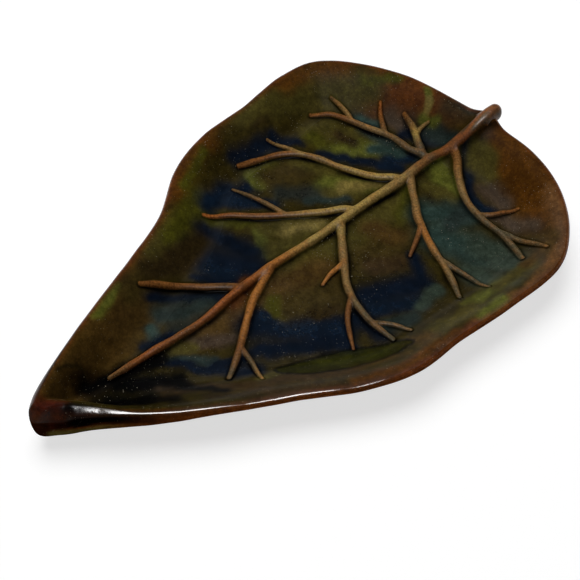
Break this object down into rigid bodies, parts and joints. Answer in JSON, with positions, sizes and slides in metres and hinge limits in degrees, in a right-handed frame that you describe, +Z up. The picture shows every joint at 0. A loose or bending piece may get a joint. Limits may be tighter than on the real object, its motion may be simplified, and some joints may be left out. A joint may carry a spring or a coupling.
{
  "type": "leaf ring dish",
  "caption": "Shallow leaf-shaped ring dish of glazed pottery with a rounded rim, raised veins, a stem over the rim and a low oval foot.",
  "frame": {"origin": "under the middle of the dish, at the height of the foot ring's face", "axes": "+Y from the leaf's tip to its stem, +X across the leaf, +Z up"},
  "size_m": [0.1145, 0.181, 0.0183],
  "materials": {
    "body_glaze": "glossy pooled glaze, rust brown at the rim, olive and navy in the hollow",
    "stem_glaze": "thin glossy rust-brown glaze over clay speckle",
    "vein_glaze": "thin glossy tan and olive glaze over clay speckle",
    "bare_clay": "unglazed matt red clay"
  },
  "bodies": {
    "root": {"dish_body": "body_glaze", "foot_ring": "bare_clay", "midrib": "stem_glaze", "vein_left_1": "vein_glaze", "vein_left_2": "vein_glaze", "vein_left_3": "vein_glaze", "vein_left_4": "vein_glaze", "vein_left_5": "vein_glaze", "vein_right_1": "vein_glaze", "vein_right_2": "vein_glaze", "vein_right_3": "vein_glaze", "vein_right_4": "vein_glaze", "twig_left_1a": "vein_glaze", "twig_left_2a": "vein_glaze", "twig_left_2b": "vein_glaze", "twig_left_3a": "vein_glaze", "twig_left_4a": "vein_glaze", "twig_right_1a": "vein_glaze", "twig_right_1b": "vein_glaze", "twig_right_2a": "vein_glaze", "twig_right_2b": "vein_glaze", "twig_right_3a": "vein_glaze", "twig_right_3b": "vein_glaze", "twig_right_3c": "vein_glaze", "twig_right_4a": "vein_glaze"}
  },
  "joints": []
}
